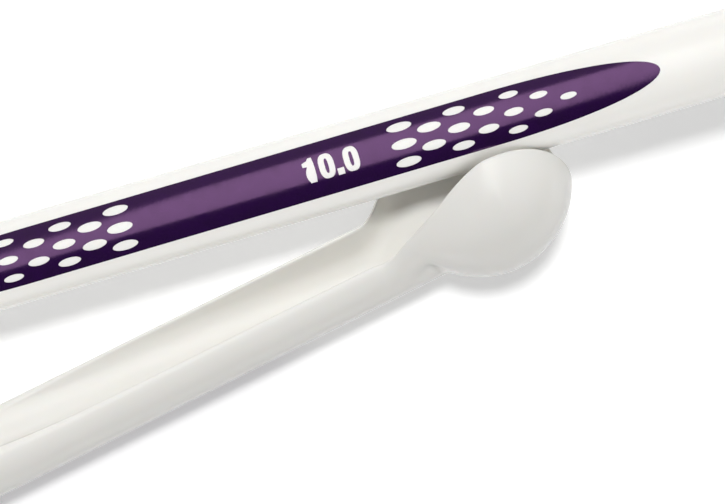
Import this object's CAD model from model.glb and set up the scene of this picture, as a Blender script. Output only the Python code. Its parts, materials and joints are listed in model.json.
"""Looks of a pair of thick knitting needles with clip heads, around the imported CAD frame.

Each needle is one white moulding with a dark purple foil stamped on the side opposite its trough.
Shapes are worked out in millimetres in the needle's own frame: x towards the head from the middle of
its ball, y across the slot and z out of the mouth. A placement then turns them into metres in the row
frame. The trough is narrower than the CAD's and fades out sooner towards the point, as in the photo.
"""

import json
import logging
import math
from dataclasses import dataclass, field
from enum import Enum

import bpy
import numpy as np
from mathutils import Matrix, Vector
from mathutils.geometry import delaunay_2d_cdt


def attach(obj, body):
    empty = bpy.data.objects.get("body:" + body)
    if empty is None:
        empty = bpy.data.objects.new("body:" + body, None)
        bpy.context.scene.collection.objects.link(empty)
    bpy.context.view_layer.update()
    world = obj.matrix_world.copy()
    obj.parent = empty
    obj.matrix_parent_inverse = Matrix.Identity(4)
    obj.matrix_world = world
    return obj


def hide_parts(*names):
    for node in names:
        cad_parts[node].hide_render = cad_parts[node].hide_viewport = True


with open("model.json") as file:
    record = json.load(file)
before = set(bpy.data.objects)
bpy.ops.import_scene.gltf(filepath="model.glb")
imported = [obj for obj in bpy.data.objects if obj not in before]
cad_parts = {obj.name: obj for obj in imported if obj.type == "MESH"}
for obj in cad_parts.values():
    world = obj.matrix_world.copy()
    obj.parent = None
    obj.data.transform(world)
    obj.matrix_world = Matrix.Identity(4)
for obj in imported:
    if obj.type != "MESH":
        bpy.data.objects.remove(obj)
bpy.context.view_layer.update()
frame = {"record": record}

log = logging.getLogger("needles")

MM = 0.001
TINY = 1e-9


def lerp(start: np.ndarray, end: np.ndarray, share: np.ndarray) -> np.ndarray:
    """Mix of start and end: start plus share of the way to the end.

    Args:
        start: Value at share 0.
        end: Value at share 1.
        share: How far along, 0 to 1.

    Returns:
        The mixed value.
    """
    return start + (end - start) * share


def smoothstep(value: np.ndarray, low: float, high: float) -> np.ndarray:
    """Soft step: 3t² - 2t³ of the clipped share t of the way from low to high.

    Args:
        value: Where to read the step.
        low: Value at which the step starts.
        high: Value at which the step ends.

    Returns:
        0 below low, 1 above high.
    """
    share = np.clip((value - low) / (high - low), 0, 1)
    return share * share * (3 - 2 * share)


def rounded_max(first: np.ndarray, second: np.ndarray, width: float) -> np.ndarray:
    """Larger of two reaches, with a quarter of the squared overlap added where they meet.

    Args:
        first: One reach.
        second: The other reach.
        width: Difference within which the two blend.

    Returns:
        The blended maximum.
    """
    overlap = np.maximum(width - np.abs(first - second), 0) / width
    return np.maximum(first, second) + overlap * overlap * width / 4


def circle_reach(radius: np.ndarray, rise: np.ndarray, angle: np.ndarray) -> np.ndarray:
    """Distance from a pole to a circle whose centre lies above it: r cos a + sqrt(R² - r² sin² a).

    Args:
        radius: The circle's radius R.
        rise: Height r of the circle's centre above the pole.
        angle: Angle a from the mouth's direction.

    Returns:
        The distance along each angle.
    """
    across = rise * np.sin(angle)
    return rise * np.cos(angle) + np.sqrt(np.maximum(radius * radius - across * across, 0))


def even_points(lines: np.ndarray, count: int, skip: np.ndarray) -> np.ndarray:
    """Points at even distances along each line, after its first few millimetres.

    The running length of every line is compared with the wanted distances, and the point is a mix of
    the two corners on either side.

    Args:
        lines: Polylines, of shape (lines, corners, 2).
        count: Steps along each line.
        skip: Length left out at the start of each line.

    Returns:
        Points of shape (lines, count + 1, 2).
    """
    steps = np.linalg.norm(np.diff(lines, axis=1), axis=2)
    lengths = np.concatenate([np.zeros((len(lines), 1)), np.cumsum(steps, axis=1)], axis=1)
    targets = lerp(skip[:, None], lengths[:, -1:], np.linspace(0, 1, count + 1)[None])
    after = (lengths[:, None, :] < targets[:, :, None]).sum(axis=2)
    after = np.clip(after, 1, lines.shape[1] - 1)
    near = np.take_along_axis(lengths, after - 1, axis=1)
    span = np.maximum(np.take_along_axis(lengths, after, axis=1) - near, TINY)
    share = np.clip((targets - near) / span, 0, 1)[..., None]
    first = np.take_along_axis(lines, (after - 1)[..., None], axis=1)
    second = np.take_along_axis(lines, after[..., None], axis=1)
    return lerp(first, second, share)


def line_lengths(lines: np.ndarray) -> np.ndarray:
    """Length of each line in an array of shape (lines, corners, 2)."""
    return np.linalg.norm(np.diff(lines, axis=1), axis=2).sum(axis=1)


def build_mesh(name: str, points: np.ndarray, faces: list[np.ndarray]) -> bpy.types.Object:
    """Makes a smooth-shaded object at the origin from whole arrays.

    Args:
        name: Name of the object and its mesh.
        points: Corners in metres, of shape (corners, 3).
        faces: Arrays of corner numbers, one array per face size.

    Returns:
        The object, linked to the scene.
    """
    mesh = bpy.data.meshes.new(name)
    corners = np.concatenate([group.ravel() for group in faces]).astype(np.int32)
    sizes = np.concatenate([np.full(len(group), group.shape[1]) for group in faces])
    mesh.vertices.add(len(points))
    mesh.vertices.foreach_set("co", points.astype(np.float32).ravel())
    mesh.loops.add(len(corners))
    mesh.loops.foreach_set("vertex_index", corners)
    mesh.polygons.add(len(sizes))
    mesh.polygons.foreach_set("loop_start", (np.cumsum(sizes) - sizes).astype(np.int32))
    mesh.polygons.foreach_set("use_smooth", np.ones(len(sizes), bool))
    mesh.update(calc_edges=True)
    mesh.validate()
    made = bpy.data.objects.new(name, mesh)
    bpy.context.scene.collection.objects.link(made)
    return made


@dataclass(frozen=True)
class NeedleForm:
    """Shape of one needle in millimetres, in its own frame."""

    gauge: float = 10.0
    length: float = 350.0
    drop_diameter: float = 7.0
    drop_at: float = 12.0
    neck_diameter: float = 6.2
    neck_at: float = 22.0
    taper_end: float = 38.0
    ball_diameter: float = 22.5
    ball_raise: float = 4.7
    flank_length: float = 14.0
    flank_curve: float = 1.5
    flank_ease: float = 0.15
    flank_angle: float = 50.0
    underside_angle: float = 110.0
    head_fillet: float = 1.2
    mouth_play: float = 0.1
    trough_width: float = 6.2
    trough_web: float = 1.9
    trough_fade: float = 1.05
    saddle_web: float = 6.2
    ramp_start: float = 17.0
    ramp_end: float = 6.0
    trough_length: float = 80.0
    run_out: float = 25.0
    rim_rounding: float = 0.8
    rim_share: float = 1 / 3
    narrowest_rim: float = 0.16
    least_depth: float = 1e-6

    floor_steps: int = 22
    rim_steps: int = 8
    outside_steps: int = 46
    samples: int = 110
    halvings: int = 34
    head_stations: int = 64
    flank_stations: int = 76
    trough_stations: int = 60
    run_out_stations: int = 40
    taper_stations: int = 16
    drop_stations: int = 18

    @property
    def radius(self) -> float:
        """Radius of the shaft."""
        return self.gauge / 2

    @property
    def ball_radius(self) -> float:
        """Radius of the ball head."""
        return self.ball_diameter / 2

    @property
    def tip_reach(self) -> float:
        """Distance from the middle of the ball to the point."""
        return self.length - self.ball_radius

    @property
    def saddle_floor(self) -> float:
        """Height of the slot's floor in the head."""
        return self.saddle_web - self.radius

    @property
    def mouth_half(self) -> float:
        """Half width of the slot in the head."""
        return self.radius + self.mouth_play / 2

    @property
    def jaw_tip(self) -> float:
        """Height at which the slot's walls leave the ball."""
        return self.ball_raise + math.sqrt(self.ball_radius**2 - self.mouth_half**2)

    @property
    def saddle_end(self) -> float:
        """Where the slot's floor meets the end of the ball."""
        return math.sqrt(self.ball_radius**2 - (self.ball_raise - self.saddle_floor) ** 2)

    def shaft_radius_at(self, x: np.ndarray) -> np.ndarray:
        """Radius of the shaft and the drop-shaped point: a quarter ellipse, then two soft steps.

        Args:
            x: Stations along the needle.

        Returns:
            The radius at each station.
        """
        along = np.clip(x + self.tip_reach, 0, self.length)
        drop_radius, neck_radius = self.drop_diameter / 2, self.neck_diameter / 2
        end = drop_radius * np.sqrt(np.clip(1 - (1 - along / self.drop_at) ** 2, 0, 1))
        neck = lerp(drop_radius, neck_radius, smoothstep(along, self.drop_at, self.neck_at))
        shaft = lerp(neck, self.radius, smoothstep(along, self.neck_at, self.taper_end))
        return np.where(along < self.drop_at, end, shaft)

    def outside(self, x: np.ndarray, angle: np.ndarray) -> np.ndarray:
        """Outside of the section at x: a pole that rises with the head, and a reach from it.

        On the mouth's side the reach swells from the shaft's to the ball's radius, and underneath it
        is the larger of the shaft's and the ball's reach, with a soft change between the two angles.

        Args:
            x: Stations, of shape (stations, 1).
            angle: Angles from the mouth's direction, in radians.

        Returns:
            Points (across, up) of shape (stations, angles, 2).
        """
        back = np.maximum(-x, 0) / self.flank_length
        swell = rounded_max(1 - back**self.flank_curve, 0 * x, self.flank_ease)
        pole = self.ball_raise * swell
        shaft_radius = self.shaft_radius_at(x)
        ball = np.sqrt(np.maximum(self.ball_radius**2 - x * x, 0))
        flank = lerp(shaft_radius, self.ball_radius, swell)
        shaft = circle_reach(shaft_radius, -pole, angle)
        bulge = circle_reach(ball, self.ball_raise - pole, angle)
        under = rounded_max(bulge, shaft, self.head_fillet)
        change = (math.radians(self.flank_angle), math.radians(self.underside_angle))
        behind = lerp(flank, under, smoothstep(angle, *change))
        reach = np.where(x < 0, behind, ball)
        return np.stack([reach * np.sin(angle), pole + reach * np.cos(angle)], axis=-1)

    def slot(self, x: np.ndarray) -> tuple[np.ndarray, np.ndarray]:
        """Radius and height of the floor of the slot and trough.

        The trough's rims lie on the shaft, and their half width w ends as a quarter ellipse. The floor
        is an arc between them, whose depth d fades as a power of the distance from the trough's end,
        so that its radius is (w² + d²) / 2d, and w where it is deeper than that. On the ramp both
        change to the slot's.

        Args:
            x: Stations along the needle.

        Returns:
            The radius and the height of the floor at each station.
        """
        from_end = np.maximum(self.trough_length + x, 0)
        short = np.maximum(1 - from_end / self.run_out, 0)
        rim_half = self.trough_width / 2 * np.sqrt(1 - short**2)
        rim_height = np.sqrt(self.radius**2 - rim_half**2)
        fade = np.minimum(from_end / (self.trough_length - self.ramp_start), 1) ** self.trough_fade
        depth = (rim_height + self.radius - self.trough_web) * fade
        shallow = (rim_half**2 + depth**2) / (2 * np.maximum(depth, self.least_depth))
        arc = np.where(depth < rim_half, shallow, rim_half)
        ramp = smoothstep(x, -self.ramp_start, -self.ramp_end)
        return lerp(arc, self.mouth_half, ramp), lerp(rim_height - depth, self.saddle_floor, ramp)

    def rim_angles(self, x: np.ndarray) -> np.ndarray:
        """Angle at which the outside leaves the slot, found by halving the range again and again.

        Args:
            x: Stations, of shape (stations, 1).

        Returns:
            Angles in radians, of shape (stations, 1).
        """
        half, floor = self.slot(x)
        inside, clear = np.zeros_like(x), np.full_like(x, math.pi)
        for _ in range(self.halvings):
            middle = (inside + clear) / 2
            point = self.outside(x, middle)
            depth = point[..., 1] - floor
            curved = np.sqrt(np.maximum(half**2 - np.maximum(half - depth, 0) ** 2, 0))
            in_slot = (depth > 0) & (np.abs(point[..., 0]) < curved)
            inside, clear = np.where(in_slot, middle, inside), np.where(in_slot, clear, middle)
        return clear

    def sections(self, x: np.ndarray) -> np.ndarray:
        """Closed sections: slot floor, rounded rim, outside, and the mirror image of these.

        The rim is a quadratic curve whose middle corner is the sharp rim.

        Args:
            x: Stations, of shape (stations, 1).

        Returns:
            Rings of shape (stations, points, 3) in the needle's frame.
        """
        rim = np.maximum(self.rim_angles(x), self.narrowest_rim)
        half, floor = self.slot(x)
        share = np.linspace(0, 1, self.samples)[None]
        outer_line = self.outside(x, lerp(rim, math.pi, share))
        corner = outer_line[:, :1]
        plain = self.outside(x, rim * (1 - share))
        centre = floor + half
        leaning = np.arcsin(np.clip(corner[..., 0] / np.maximum(half, TINY), 0, 1))
        start = np.where(corner[..., 1] >= centre, math.pi / 2, leaning)
        turn = start * (1 - share)
        arc = np.stack([half * np.sin(turn), centre - half * np.cos(turn)], axis=-1)
        is_cut = (rim > self.narrowest_rim)[..., None]
        inner_line = np.concatenate([corner, np.where(is_cut, arc, plain)], axis=1)
        shortest = np.minimum(line_lengths(inner_line), line_lengths(outer_line))
        rounding = np.minimum(self.rim_rounding, shortest * self.rim_share)
        inner = even_points(inner_line, self.floor_steps, rounding)[:, ::-1]
        outer = even_points(outer_line, self.outside_steps, rounding)
        t = np.linspace(0, 1, self.rim_steps + 1)[None, 1:-1, None]
        bend = (1 - t) ** 2 * inner[:, -1:] + 2 * t * (1 - t) * corner + t**2 * outer[:, :1]
        right = np.concatenate([inner, bend, outer], axis=1)
        left = right[:, -2:0:-1] * np.array([-1, 1])
        ring = np.concatenate([right, left], axis=1)
        return np.concatenate([np.broadcast_to(x[..., None], (*ring.shape[:2], 1)), ring], axis=2)

    def stations(self) -> np.ndarray:
        """Stations from the head's end to the point, closer together where the shape turns.

        Returns:
            The stations as one column.
        """

        def spread(count: int, start: float, end: float) -> np.ndarray:
            return np.linspace(start, end, count + 1)[1:]

        tip = -self.tip_reach
        head = self.saddle_end * np.sin(spread(self.head_stations, math.pi / 2, 0))
        drop = self.drop_at * (1 - np.cos(spread(self.drop_stations, math.pi / 2, 0)))
        trough_back, run_out_start = -self.trough_length, self.run_out - self.trough_length
        parts = [
            head,
            spread(self.flank_stations, 0, -self.ramp_start),
            spread(self.trough_stations, -self.ramp_start, run_out_start),
            spread(self.run_out_stations, run_out_start, trough_back),
            spread(self.taper_stations, trough_back, tip + self.taper_end),
            spread(self.taper_stations, tip + self.taper_end, tip + self.neck_at),
            spread(self.taper_stations, tip + self.neck_at, tip + self.drop_at),
            drop[:-1] + tip,
        ]
        return np.concatenate(parts)[:, None]

    def skin(self) -> tuple[np.ndarray, list[np.ndarray]]:
        """Closed skin over all sections, with a point at each end.

        Returns:
            Points in millimetres and the faces: quads between rings and triangles at the ends.
        """
        rings = self.sections(self.stations())
        count, size = rings.shape[:2]
        ends = np.array([[self.saddle_end, 0, self.saddle_floor], [-self.tip_reach, 0, 0]])
        points = np.concatenate([rings.reshape(-1, 3), ends])
        side = np.arange(size)
        following = (side + 1) % size
        first = np.arange(count - 1)[:, None] * size
        quads = np.stack(
            [first + side, first + following, first + following + size, first + side + size], axis=-1
        ).reshape(-1, 4)
        last = (count - 1) * size
        head_end, point_end = np.full(size, len(points) - 2), np.full(size, len(points) - 1)
        head_cap = np.stack([head_end, following, side], axis=-1)
        point_cap = np.stack([point_end, last + side, last + following], axis=-1)
        return points, [quads, np.concatenate([head_cap, point_cap])]


@dataclass(frozen=True)
class FoilForm:
    """Outline of the stamped foil in millimetres, unrolled: along the shaft and round it."""

    needle: NeedleForm
    start: float = 27.2
    length: float = 95.7
    width: float = 6.8
    end_taper: float = 20.0
    dot_length: float = 3.0
    dot_width: float = 1.13
    smallest_dot: float = 0.66
    dot_pitch: float = 3.3
    row_pitch: float = 2.15
    first_dots_at: float = 16.95
    dots_in_column: tuple[int, ...] = (3, 2, 3, 2, 3, 2, 1)

    number_at: float = 8.26
    number_raise: float = 0.12
    digit_height: float = 2.93
    zero_width: float = 1.82
    zero_square: float = 2.7
    counter_size: tuple[float, float] = (0.42, 1.72)
    stem_width: float = 0.78
    flag_reach: float = 1.25
    flag_corners: tuple[tuple[float, float], ...] = (
        (-0.429, 0.0),
        (-0.663, -0.30888),
        (-1.25, -0.4719),
        (-1.25, -0.96525),
        (-0.78, -0.9867),
    )
    point_size: float = 0.8
    digit_gaps: tuple[float, float, float] = (0.57, 0.16, 0.17)

    height: float = 0.025
    depth: float = 0.05
    outline_steps: int = 220
    dot_steps: int = 36
    grid_step: float = 0.42
    grid_margin: float = 1 / 3
    merge_distance: float = 1e-6

    @property
    def middle(self) -> float:
        """Station of the foil's middle."""
        return -self.start - self.length / 2

    def half_width(self, along: np.ndarray) -> np.ndarray:
        """Half width of the oval: w sqrt(1 - (1 - d)²) at the share d of an end's half ellipse.

        Args:
            along: Distance from the oval's middle.

        Returns:
            The half width, measured round the shaft.
        """
        from_end = np.clip((self.length / 2 - np.abs(along)) / self.end_taper, 0, 1)
        return self.width / 2 * np.sqrt(1 - (1 - from_end) ** 2)

    def oval(self) -> np.ndarray:
        """Outline of the foil: the half width on both sides, at cosine steps from end to end."""
        turn = np.linspace(0, 2 * math.pi, self.outline_steps, endpoint=False)
        along = self.length / 2 * np.cos(turn)
        return np.stack([along, np.sign(np.sin(turn)) * self.half_width(along)], axis=-1)

    def dots(self) -> list[np.ndarray]:
        """Bare dots: ellipses in columns that mirror about the middle and shrink outwards."""
        turn = np.linspace(0, 2 * math.pi, self.dot_steps, endpoint=False)
        ellipse = np.stack([np.cos(turn), np.sin(turn)], axis=-1)
        ellipse *= np.array([self.dot_length, self.dot_width]) / 2
        last = len(self.dots_in_column) - 1
        found = []
        for column, count in enumerate(self.dots_in_column):
            offset = self.first_dots_at + column * self.dot_pitch
            size = lerp(1, self.smallest_dot, column / last)
            for row in range(count):
                around = (row - (count - 1) / 2) * self.row_pitch
                found += [ellipse * size + [side * offset, around] for side in (1, -1)]
        return found

    def zero(self, left: float) -> list[np.ndarray]:
        """A bold zero: two superellipses, |x|^p + |y|^p = 1, one inside the other.

        Args:
            left: Left end of the digit.

        Returns:
            The outer and the inner outline.
        """
        turn = np.linspace(0, 2 * math.pi, self.dot_steps, endpoint=False)
        wave = np.stack([np.cos(turn), np.sin(turn)], axis=-1)
        square = np.sign(wave) * np.abs(wave) ** (2 / self.zero_square)
        centre = np.array([left + self.zero_width / 2, 0])
        outer = square * np.array([self.zero_width, self.digit_height]) / 2 + centre
        inner = square * np.array(self.counter_size) / 2 + centre
        return [outer, inner]

    def one(self, right: float) -> np.ndarray:
        """A bold one: an upright stem with a slanted flag, whose corners count from its top right.

        Args:
            right: Right edge of the stem.

        Returns:
            The outline.
        """
        top = self.digit_height / 2
        flag = [[across, top + down] for across, down in self.flag_corners]
        corners = [[0, -top], [0, top], *flag, [-self.stem_width, -top]]
        return np.array(corners)[::-1] + [right, 0]

    def number(self) -> list[np.ndarray]:
        """Outlines of the needle size, with reading direction towards the head."""
        gaps = self.digit_gaps
        total = self.flag_reach + 2 * self.zero_width + self.point_size + sum(gaps)
        right = self.flag_reach - total / 2
        first_zero = right + gaps[0]
        point = first_zero + self.zero_width + gaps[1]
        second_zero = point + self.point_size + gaps[2]
        side, bottom = self.point_size, -self.digit_height / 2
        square = np.array([[0, 0], [side, 0], [side, side], [0, side]]) + [point, bottom]
        loops = [self.one(right), *self.zero(first_zero), square, *self.zero(second_zero)]
        place = np.array([self.number_at, self.number_raise])
        return [(loop + place) * np.array([1, -1]) for loop in loops]

    def sheet(self) -> tuple[np.ndarray, np.ndarray]:
        """Flat triangles of the foil: an even grid and all outlines, triangulated together.

        A triangle is foil where an odd number of outlines goes round its middle.

        Returns:
            Flat points and triangles.
        """
        loops = [self.oval(), *self.dots(), *self.number()]
        columns = np.arange(-self.length / 2, self.length / 2, self.grid_step)
        rows = np.arange(-self.width / 2, self.width / 2, self.grid_step) + self.grid_step / 2
        grid = np.stack(np.meshgrid(columns, rows), axis=-1).reshape(-1, 2)
        grid = grid[np.abs(grid[:, 1]) < self.half_width(grid[:, 0]) - self.grid_step * self.grid_margin]
        edges, first = [], 0
        for loop in loops:
            numbers = np.arange(len(loop))
            edges += (first + np.stack([numbers, (numbers + 1) % len(loop)], axis=-1)).tolist()
            first += len(loop)
        flat = np.concatenate([*loops, grid])
        corners = [Vector(point) for point in flat.tolist()]
        made = delaunay_2d_cdt(corners, edges, [], 0, self.merge_distance)
        points, triangles = np.array([list(point) for point in made[0]]), np.array(made[2])
        centres = points[triangles].mean(axis=1)
        rounds = sum(is_inside(centres, loop).astype(int) for loop in loops)
        return points, triangles[rounds % 2 == 1]

    def shell(self) -> tuple[np.ndarray, list[np.ndarray], np.ndarray]:
        """The foil rolled round the shaft, as a thin closed shell.

        A flat point (a, v) goes to the station of a, at the angle v / R round the shaft from its
        printed side. The top lies just above the shaft's surface and the bottom just below it.

        Returns:
            Points in millimetres, faces (triangles, then wall quads) and a normal for each corner.
        """
        flat, triangles = self.sheet()
        used, numbers = np.unique(triangles, return_inverse=True)
        flat, triangles = flat[used], numbers.reshape(-1, 3)
        turn = flat[:, 1] / self.needle.radius
        outward = np.stack([0 * turn, np.sin(turn), -np.cos(turn)], axis=-1)
        axis = np.stack([self.middle + flat[:, 0], 0 * turn, 0 * turn], axis=-1)
        top = axis + outward * (self.needle.radius + self.height)
        bottom = axis + outward * (self.needle.radius - self.depth)
        upper = triangles[:, ::-1]
        edges = np.concatenate([upper[:, [0, 1]], upper[:, [1, 2]], upper[:, [2, 0]]])
        count = len(flat)
        keys = edges[:, 0] * count + edges[:, 1]
        border = edges[~np.isin(keys, edges[:, 1] * count + edges[:, 0])]
        start, end = border[:, 0], border[:, 1]
        walls = np.stack([end, start, start + count, end + count], axis=-1)
        faces = [np.concatenate([upper, triangles + count]), walls]
        wall_way = np.cross(top[end] - top[start], outward[start])
        wall_way /= np.linalg.norm(wall_way, axis=1, keepdims=True)
        normals = [outward[upper], -outward[triangles], np.repeat(wall_way[:, None], 4, axis=1)]
        corners = np.concatenate([normal.reshape(-1, 3) for normal in normals])
        return np.concatenate([top, bottom]), faces, corners


def is_inside(points: np.ndarray, loop: np.ndarray) -> np.ndarray:
    """Whether points lie inside a loop: a line to the right of them crosses it an odd number of times.

    Args:
        points: Points of shape (points, 2).
        loop: Corners of the loop, of shape (corners, 2).

    Returns:
        True for each point inside.
    """
    start, end = loop, np.roll(loop, -1, axis=0)
    x, y = points[:, :1], points[:, 1:]
    spans = (start[:, 1] > y) != (end[:, 1] > y)
    rise = np.where(end[:, 1] == start[:, 1], 1, end[:, 1] - start[:, 1])
    cross = start[:, 0] + (y - start[:, 1]) * (end[:, 0] - start[:, 0]) / rise
    return (spans & (x < cross)).sum(axis=1) % 2 == 1


class Axis(Enum):
    """Axes to turn about."""

    X = 0
    Y = 1
    Z = 2

    def turn(self, degrees: float) -> np.ndarray:
        """Turn about this axis by the right-hand rule.

        Args:
            degrees: Angle of the turn.

        Returns:
            A 3 by 3 matrix.
        """
        angle = math.radians(degrees)
        first, second = (self.value + 1) % 3, (self.value + 2) % 3
        matrix = np.eye(3)
        matrix[first, first] = matrix[second, second] = math.cos(angle)
        matrix[second, first] = math.sin(angle)
        matrix[first, second] = -math.sin(angle)
        return matrix


@dataclass(frozen=True)
class Placement:
    """Where a needle's own frame lies in the row frame."""

    matrix: np.ndarray
    origin: np.ndarray

    def to_row(self, points: np.ndarray) -> np.ndarray:
        """Turns and moves points of the needle's frame, in millimetres, into the row frame."""
        return points @ self.matrix.T + self.origin


@dataclass(frozen=True)
class Layout:
    """How the pair lies on the table, in degrees and millimetres."""

    form: NeedleForm
    lower_roll: float = -42.0
    upper_roll: float = 178.0
    crossing_angle: float = 9.8
    crossing_past_ball: float = 1.5
    upper_head_past_crossing: float = 49.25
    seat_below_jaw_tips: float = 1.0
    seat_toward_rear_jaw: float = 0.85
    rest_flat_width: float = 4.0

    def lower(self, rest: np.ndarray) -> Placement:
        """Places the lower needle with its ball's rest flat on the table.

        Args:
            rest: Middle of the rest flat in the row frame, in millimetres.

        Returns:
            The lower needle's placement.
        """
        form = self.form
        flat_height = math.sqrt(form.ball_radius**2 - (self.rest_flat_width / 2) ** 2)
        rise = form.ball_raise * math.cos(math.radians(self.lower_roll))
        height = flat_height - rise
        taper = form.tip_reach - form.taper_end
        slope = math.degrees(math.asin((height - form.radius) / taper))
        matrix = Axis.Y.turn(-slope) @ Axis.X.turn(self.lower_roll)
        ball_middle = matrix @ np.array([0, 0, form.ball_raise])
        across = rest[:2] - ball_middle[:2]
        return Placement(matrix, np.array([*across, height]))

    def upper(self, lower: Placement) -> Placement:
        """Places the upper needle across the lower one's mouth, with its shaft down on the table.

        Args:
            lower: The lower needle's placement.

        Returns:
            The upper needle's placement.
        """
        form = self.form
        depth = form.jaw_tip - self.seat_below_jaw_tips
        seat = lower.to_row(np.array([self.crossing_past_ball, self.seat_toward_rear_jaw, depth]))
        taper = form.tip_reach - form.taper_end - self.upper_head_past_crossing
        slope = math.degrees(math.asin((seat[2] - form.radius) / taper))
        turned = Axis.Y.turn(-slope) @ Axis.X.turn(self.upper_roll)
        matrix = Axis.Z.turn(-self.crossing_angle) @ turned
        return Placement(matrix, seat + matrix @ np.array([self.upper_head_past_crossing, 0, 0]))


class Nodes:
    """Short hand for wiring a material's or a world's nodes."""

    def __init__(self, tree: bpy.types.NodeTree) -> None:
        """Clears the tree and keeps it."""
        self.tree = tree
        tree.nodes.clear()

    def add(self, kind: str, **settings: object) -> bpy.types.Node:
        """Adds a node and sets its properties.

        Args:
            kind: The node's type name.
            **settings: Properties of the node.

        Returns:
            The node.
        """
        node = self.tree.nodes.new(kind)
        for name, value in settings.items():
            setattr(node, name, value)
        return node

    def link(self, source: bpy.types.NodeSocket, target: bpy.types.NodeSocket) -> None:
        """Joins an output to an input."""
        self.tree.links.new(source, target)

    def noise(
        self, vector: bpy.types.NodeSocket, scale: float, detail: float
    ) -> bpy.types.NodeSocket:
        """Cloudy pattern on a vector.

        Args:
            vector: Where the pattern is read.
            scale: Features per metre.
            detail: Number of finer layers.

        Returns:
            The pattern's value, about 0.5 in the middle.
        """
        node = self.add("ShaderNodeTexNoise")
        node.inputs["Scale"].default_value = scale
        node.inputs["Detail"].default_value = detail
        self.link(vector, node.inputs["Vector"])
        return node.outputs["Fac"]

    def map_range(
        self,
        value: bpy.types.NodeSocket,
        levels: tuple[float, float],
        edges: tuple[float, float] = (0.3, 0.7),
        kind: str = "LINEAR",
    ) -> bpy.types.NodeSocket:
        """Takes a value from one level to another between two edges.

        Args:
            value: The value.
            levels: Result at the first and the second edge.
            edges: Where the change starts and ends: as a rule the middle of a pattern.
            kind: LINEAR, or SMOOTHSTEP for a soft step.

        Returns:
            The result.
        """
        node = self.add("ShaderNodeMapRange", interpolation_type=kind)
        for name, number in zip(("From Min", "From Max", "To Min", "To Max"), (*edges, *levels)):
            node.inputs[name].default_value = number
        self.link(value, node.inputs["Value"])
        return node.outputs["Result"]

    def combine(
        self, operation: str, first: bpy.types.NodeSocket, second: bpy.types.NodeSocket
    ) -> bpy.types.NodeSocket:
        """Works out one value from two.

        Args:
            operation: The Math node's operation.
            first: First value.
            second: Second value.

        Returns:
            The result.
        """
        node = self.add("ShaderNodeMath", operation=operation)
        self.link(first, node.inputs[0])
        self.link(second, node.inputs[1])
        return node.outputs["Value"]

    def mixed(
        self, share: bpy.types.NodeSocket, first: tuple, second: tuple
    ) -> bpy.types.NodeSocket:
        """Mix of two colours.

        Args:
            share: 0 for the first colour, 1 for the second.
            first: Linear red, green and blue.
            second: Linear red, green and blue.

        Returns:
            The mixed colour.
        """
        node = self.add("ShaderNodeMix", data_type="RGBA")
        node.inputs["A"].default_value = (*first, 1)
        node.inputs["B"].default_value = (*second, 1)
        self.link(share, node.inputs["Factor"])
        return node.outputs["Result"]

    def bump(
        self, height: bpy.types.NodeSocket, distance: float, strength: float
    ) -> bpy.types.NodeSocket:
        """Bump from a height pattern.

        Args:
            height: The pattern.
            distance: Height of the bumps in metres.
            strength: Share of the bump that is used.

        Returns:
            The bumped normal.
        """
        node = self.add("ShaderNodeBump")
        node.inputs["Strength"].default_value = strength
        node.inputs["Distance"].default_value = distance
        self.link(height, node.inputs["Height"])
        return node.outputs["Normal"]


@dataclass(frozen=True)
class Finish:
    """Glossy finish with a cloudy colour and roughness and a very fine grain; lengths in metres."""

    name: str
    tint: tuple[float, float, float]
    shade: tuple[float, float, float]
    roughness: tuple[float, float]
    ior: float
    cloud_scale: float
    cloud_detail: float
    grain_scale: float
    grain_detail: float
    grain_strength: float
    extras: dict[str, float | tuple[float, ...]]
    grain_height: float = 0.00002

    def build(self) -> bpy.types.Material:
        """Makes the material.

        Returns:
            The material: one Principled shader, with the extras set on its inputs.
        """
        material = bpy.data.materials.new(self.name)
        material.use_nodes = True
        nodes = Nodes(material.node_tree)
        place = nodes.add("ShaderNodeTexCoord").outputs["Object"]
        shader = nodes.add("ShaderNodeBsdfPrincipled")
        cloud = nodes.noise(place, self.cloud_scale, self.cloud_detail)
        colour = nodes.mixed(nodes.map_range(cloud, (0, 1)), self.tint, self.shade)
        nodes.link(colour, shader.inputs["Base Color"])
        nodes.link(nodes.map_range(cloud, self.roughness), shader.inputs["Roughness"])
        grain = nodes.noise(place, self.grain_scale, self.grain_detail)
        normal = nodes.bump(grain, self.grain_height, self.grain_strength)
        nodes.link(normal, shader.inputs["Normal"])
        for socket, value in {"IOR": self.ior, **self.extras}.items():
            shader.inputs[socket].default_value = value
        output = nodes.add("ShaderNodeOutputMaterial")
        nodes.link(shader.outputs["BSDF"], output.inputs["Surface"])
        return material


WHITE_POLYMER = Finish(
    name="white polymer",
    tint=(0.86, 0.85, 0.814),
    shade=(0.845, 0.833, 0.795),
    roughness=(0.2, 0.27),
    ior=1.5,
    cloud_scale=90.0,
    cloud_detail=4,
    grain_scale=1500.0,
    grain_detail=3,
    grain_strength=0.12,
    extras={
        "Subsurface Weight": 0.08,
        "Subsurface Radius": (1.0, 0.62, 0.35),
        "Subsurface Scale": 0.0022,
    },
)
PURPLE_FOIL = Finish(
    name="purple foil",
    tint=(0.017, 0.0021, 0.042),
    shade=(0.012, 0.0014, 0.031),
    roughness=(0.13, 0.22),
    ior=1.9,
    cloud_scale=700.0,
    cloud_detail=5,
    grain_scale=2600.0,
    grain_detail=2,
    grain_strength=0.2,
    extras={"Specular Tint": (0.95, 0.5, 1.0, 1.0)},
)


class Level(Enum):
    """Which of the two needles, by its CAD body's name."""

    LOWER = "lower_needle"
    UPPER = "upper_needle"


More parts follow.
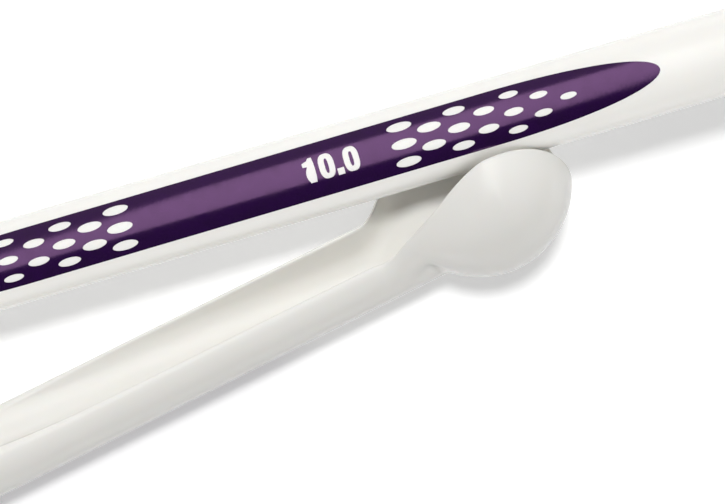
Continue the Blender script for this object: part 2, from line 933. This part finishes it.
@dataclass
class Needle:
    """One needle: its moulding and its foil, riding on their CAD body."""

    level: Level
    form: NeedleForm
    foil: FoilForm
    place: Placement
    pieces: list[bpy.types.Object] = field(default_factory=list)

    def build(self, polymer: bpy.types.Material, foil_finish: bpy.types.Material) -> None:
        """Builds both pieces, dresses them and reports them.

        Args:
            polymer: Finish of the moulding.
            foil_finish: Finish of the foil.
        """
        self.dress(self.moulding(), polymer, "body")
        self.dress(self.print(), foil_finish, "print")

    def moulding(self) -> bpy.types.Object:
        """Builds the white moulding: the form's skin, with nothing of it below the table."""
        points, faces = self.form.skin()
        placed = self.place.to_row(points)
        placed[:, 2] = np.maximum(placed[:, 2], 0)
        return build_mesh(f"{self.level.value}_moulding", placed * MM, faces)

    def print(self) -> bpy.types.Object:
        """Builds the foil, with exact normals so that it shades as the round shaft does."""
        points, faces, normals = self.foil.shell()
        name = f"{self.level.value}_foil"
        made = build_mesh(name, self.place.to_row(points) * MM, faces)
        made.data.normals_split_custom_set((normals @ self.place.matrix.T).tolist())
        return made

    def dress(
        self, piece: bpy.types.Object, finish: bpy.types.Material, node_end: str
    ) -> None:
        """Gives a piece its finish and ties it to the frame.

        Args:
            piece: The piece.
            finish: Its material.
            node_end: Last word of the CAD node that the piece stands for.
        """
        piece.data.materials.append(finish)
        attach(piece, self.level.value)
        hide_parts(f"{self.level.value}_{node_end}")
        self.pieces.append(piece)
        log.info("%s: %d faces, finish %s", piece.name, len(piece.data.polygons), finish.name)


@dataclass
class PhotoView:
    """Camera above the table, rolled so that the lower needle rises to the right."""

    lower: Placement
    form: NeedleForm
    image_width: float = 725.0
    image_height: float = 504.0
    ball_pixel: tuple[float, float] = (479.0, 184.8)
    pixels_per_mm: float = 8.19
    axis_rise: float = 26.35
    tilt: float = 5.05
    lens: float = 80.0
    sensor: float = 36.0
    clip: tuple[float, float] = (0.01, 100.0)

    def axes(self) -> np.ndarray:
        """Image right, image up and the way back to the camera, as the columns of a matrix."""
        return Axis.Z.turn(-self.axis_rise) @ Axis.Y.turn(-self.tilt)

    def build(self) -> None:
        """Places the camera so that the middle of the lower ball falls on its pixel."""
        axes = self.axes()
        pixels = self.image_width * self.lens / self.sensor
        distance = pixels / self.pixels_per_mm
        right = (self.ball_pixel[0] - self.image_width / 2) / pixels
        up = (self.image_height / 2 - self.ball_pixel[1]) / pixels
        ball = self.lower.to_row(np.array([0, 0, self.form.ball_raise]))
        place = ball - axes @ np.array([right, up, -1]) * distance
        data = bpy.data.cameras.new("photo view")
        data.lens, data.sensor_width = self.lens, self.sensor
        data.clip_start, data.clip_end = self.clip
        camera = bpy.data.objects.new("photo view", data)
        bpy.context.scene.collection.objects.link(camera)
        camera.matrix_world = Matrix.Translation(place * MM) @ Matrix(axes.tolist()).to_4x4()
        bpy.context.scene.camera = camera
        log.info("camera %.0f mm above the table", place[2])


@dataclass
class Studio:
    """White table, a sky with bright sides, a small lamp for the shadows and a softbox overhead."""

    view: PhotoView
    upper_pieces: list[bpy.types.Object]
    floor_size: float = 6.0
    floor_drop: float = 0.00005
    floor_tint: float = 0.8
    floor_glow: float = 0.33
    sky_overhead: float = 0.22
    sky_sides: tuple[float, float] = (0.68, 1.38)
    sky_change: tuple[float, float] = (38.0, 52.0)
    sky_in_gloss: tuple[float, float] = (0.04, 0.32)
    sky_gloss_change: tuple[float, float] = (-0.5, 0.5)
    fill_level: float = 1.3
    fill_angle: float = 62.0
    fill_size: tuple[float, float] = (0.7, 0.3)
    fill_distance: float = 0.5
    lamp_level: float = 0.63
    lamp_lean: tuple[float, float] = (-0.08, 0.2)
    lamp_angle: float = 9.0
    softbox_level: float = 1.5
    softbox_distance: float = 0.6
    softbox_span: tuple[float, float] = (-45.0, 20.0)
    softbox_side: float = 20.0

    def build(self) -> None:
        """Builds the table, the sky and the lamps."""
        self.floor()
        self.sky()
        self.lamp()
        self.fill()
        self.softbox()

    def floor(self) -> None:
        """Builds the table top: matt white, and brighter where it is seen or reflected."""
        half = self.floor_size / 2
        corners = np.array([[-half, -half], [half, -half], [half, half], [-half, half]])
        points = np.column_stack([corners, np.full(4, -self.floor_drop)])
        made = build_mesh("table_top", points, [np.array([[0, 1, 2, 3]])])
        material = bpy.data.materials.new("white table")
        material.use_nodes = True
        nodes = Nodes(material.node_tree)
        matt = nodes.add("ShaderNodeBsdfDiffuse")
        matt.inputs["Color"].default_value = (self.floor_tint,) * 3 + (1,)
        path = nodes.add("ShaderNodeLightPath")
        seen = path.outputs["Is Camera Ray"]
        for kind in ("Is Glossy Ray", "Is Transmission Ray"):
            seen = nodes.combine("MAXIMUM", seen, path.outputs[kind])
        strength = nodes.add("ShaderNodeMath", operation="MULTIPLY")
        nodes.link(seen, strength.inputs[0])
        strength.inputs[1].default_value = self.floor_glow
        glow = nodes.add("ShaderNodeEmission")
        nodes.link(strength.outputs["Value"], glow.inputs["Strength"])
        both = nodes.add("ShaderNodeAddShader")
        nodes.link(matt.outputs["BSDF"], both.inputs[0])
        nodes.link(glow.outputs["Emission"], both.inputs[1])
        output = nodes.add("ShaderNodeOutputMaterial")
        nodes.link(both.outputs["Shader"], output.inputs["Surface"])
        made.data.materials.append(material)

    def sky(self) -> None:
        """Builds the sky: dim overhead, bright on the photo's upper side and less on its lower side.

        The side angle of a direction is the arc tangent of its part up the photo over its part
        toward the camera, and the level takes a soft step at that angle on each side. Gloss sees a
        plain dim sky instead, which is a little brighter on the photo's upper side.
        """
        world = bpy.data.worlds.new("studio")
        bpy.context.scene.world = world
        world.use_nodes = True
        nodes = Nodes(world.node_tree)
        way = nodes.add("ShaderNodeTexCoord").outputs["Generated"]
        parts = []
        for axis in (1, 2):
            dot = nodes.add("ShaderNodeVectorMath", operation="DOT_PRODUCT")
            nodes.link(way, dot.inputs[0])
            dot.inputs[1].default_value = self.view.axes()[:, axis]
            parts.append(dot.outputs["Value"])
        turn = nodes.combine("ARCTAN2", *parts)
        near, far = (math.radians(edge) for edge in self.sky_change)
        low_side, high_side = self.sky_sides
        soft = "SMOOTHSTEP"
        low = nodes.map_range(turn, (low_side, self.sky_overhead), (-far, -near), soft)
        high = nodes.map_range(turn, (0, high_side - self.sky_overhead), (near, far), soft)
        gloss = nodes.map_range(parts[0], self.sky_in_gloss, self.sky_gloss_change, soft)
        path = nodes.add("ShaderNodeLightPath")
        level = nodes.add("ShaderNodeMix", data_type="FLOAT")
        nodes.link(path.outputs["Is Glossy Ray"], level.inputs["Factor"])
        nodes.link(nodes.combine("ADD", low, high), level.inputs["A"])
        nodes.link(gloss, level.inputs["B"])
        background = nodes.add("ShaderNodeBackground")
        nodes.link(level.outputs["Result"], background.inputs["Strength"])
        output = nodes.add("ShaderNodeOutputWorld")
        nodes.link(background.outputs["Background"], output.inputs["Surface"])

    def lamp(self) -> None:
        """Builds the lamp that casts the shadows, nearly overhead and from the upper left."""
        axes = self.view.axes()
        way = axes @ np.array([*self.lamp_lean, 1.0])
        data = bpy.data.lights.new("shadow lamp", "SUN")
        data.energy = self.lamp_level * math.pi
        data.angle = math.radians(self.lamp_angle)
        lamp = bpy.data.objects.new("shadow lamp", data)
        bpy.context.scene.collection.objects.link(lamp)
        lamp.rotation_mode = "QUATERNION"
        lamp.rotation_quaternion = Vector(way).to_track_quat("Z", "Y")
        lamp.visible_glossy = False

    def area_lamp(
        self, name: str, level: float, size: tuple[float, float], place: np.ndarray, turned: Matrix
    ) -> bpy.types.Object:
        """Adds a rectangular lamp, placed from the ball's station on the lower needle's axis.

        Args:
            name: Name of the lamp.
            level: Brightness of its face.
            size: Width and height in metres.
            place: Offset of its middle in metres.
            turned: Its rotation.

        Returns:
            The lamp.
        """
        data = bpy.data.lights.new(name, "AREA")
        data.shape = "RECTANGLE"
        data.size, data.size_y = size
        data.energy = level * math.pi * size[0] * size[1]
        lamp = bpy.data.objects.new(name, data)
        bpy.context.scene.collection.objects.link(lamp)
        centre = self.view.lower.to_row(np.zeros(3)) * MM
        lamp.matrix_world = Matrix.Translation(centre + place) @ turned
        return lamp

    def fill(self) -> None:
        """Builds a low lamp on the photo's lower side, which lights the upper needle alone."""
        lean = math.radians(self.fill_angle)
        way = self.view.axes() @ np.array([0, -math.sin(lean), math.cos(lean)])
        turned = Vector(way).to_track_quat("Z", "X").to_matrix().to_4x4()
        place = way * self.fill_distance
        lamp = self.area_lamp("upper needle fill", self.fill_level, self.fill_size, place, turned)
        lamp.visible_glossy = False
        lit = bpy.data.collections.new("upper needle")
        for piece in self.upper_pieces:
            lit.objects.link(piece)
        lamp.light_linking.receiver_collection = lit

    def softbox(self) -> None:
        """Builds the softbox whose reflection runs along the shafts, seen only in the gloss."""
        axes = self.view.axes()
        low, high = (math.tan(math.radians(angle)) for angle in self.softbox_span)
        side = math.tan(math.radians(self.softbox_side))
        size = (2 * side * self.softbox_distance, (high - low) * self.softbox_distance)
        place = axes @ np.array([0, -(low + high) / 2, 1]) * self.softbox_distance
        turned = Matrix(axes.tolist()).to_4x4()
        lamp = self.area_lamp("softbox", self.softbox_level, size, place, turned)
        lamp.visible_diffuse = False


def main() -> None:
    """Builds both needles, then the camera and the studio."""
    logging.basicConfig(level=logging.INFO, format="%(name)s: %(message)s")
    bpy.context.scene.view_settings.view_transform = "Standard"
    form = NeedleForm()
    foil = FoilForm(form)
    layout = Layout(form)
    mounts = {mount["name"]: mount for mount in frame["record"]["mounts"]}
    lower_place = layout.lower(np.array(mounts["rest"]["pos_m"]) / MM)
    places = {Level.LOWER: lower_place, Level.UPPER: layout.upper(lower_place)}
    polymer, foil_finish = WHITE_POLYMER.build(), PURPLE_FOIL.build()
    needles = {level: Needle(level, form, foil, place) for level, place in places.items()}
    for needle in needles.values():
        needle.build(polymer, foil_finish)
    view = PhotoView(lower_place, form)
    view.build()
    Studio(view, needles[Level.UPPER].pieces).build()


if __name__ == "__main__":
    main()
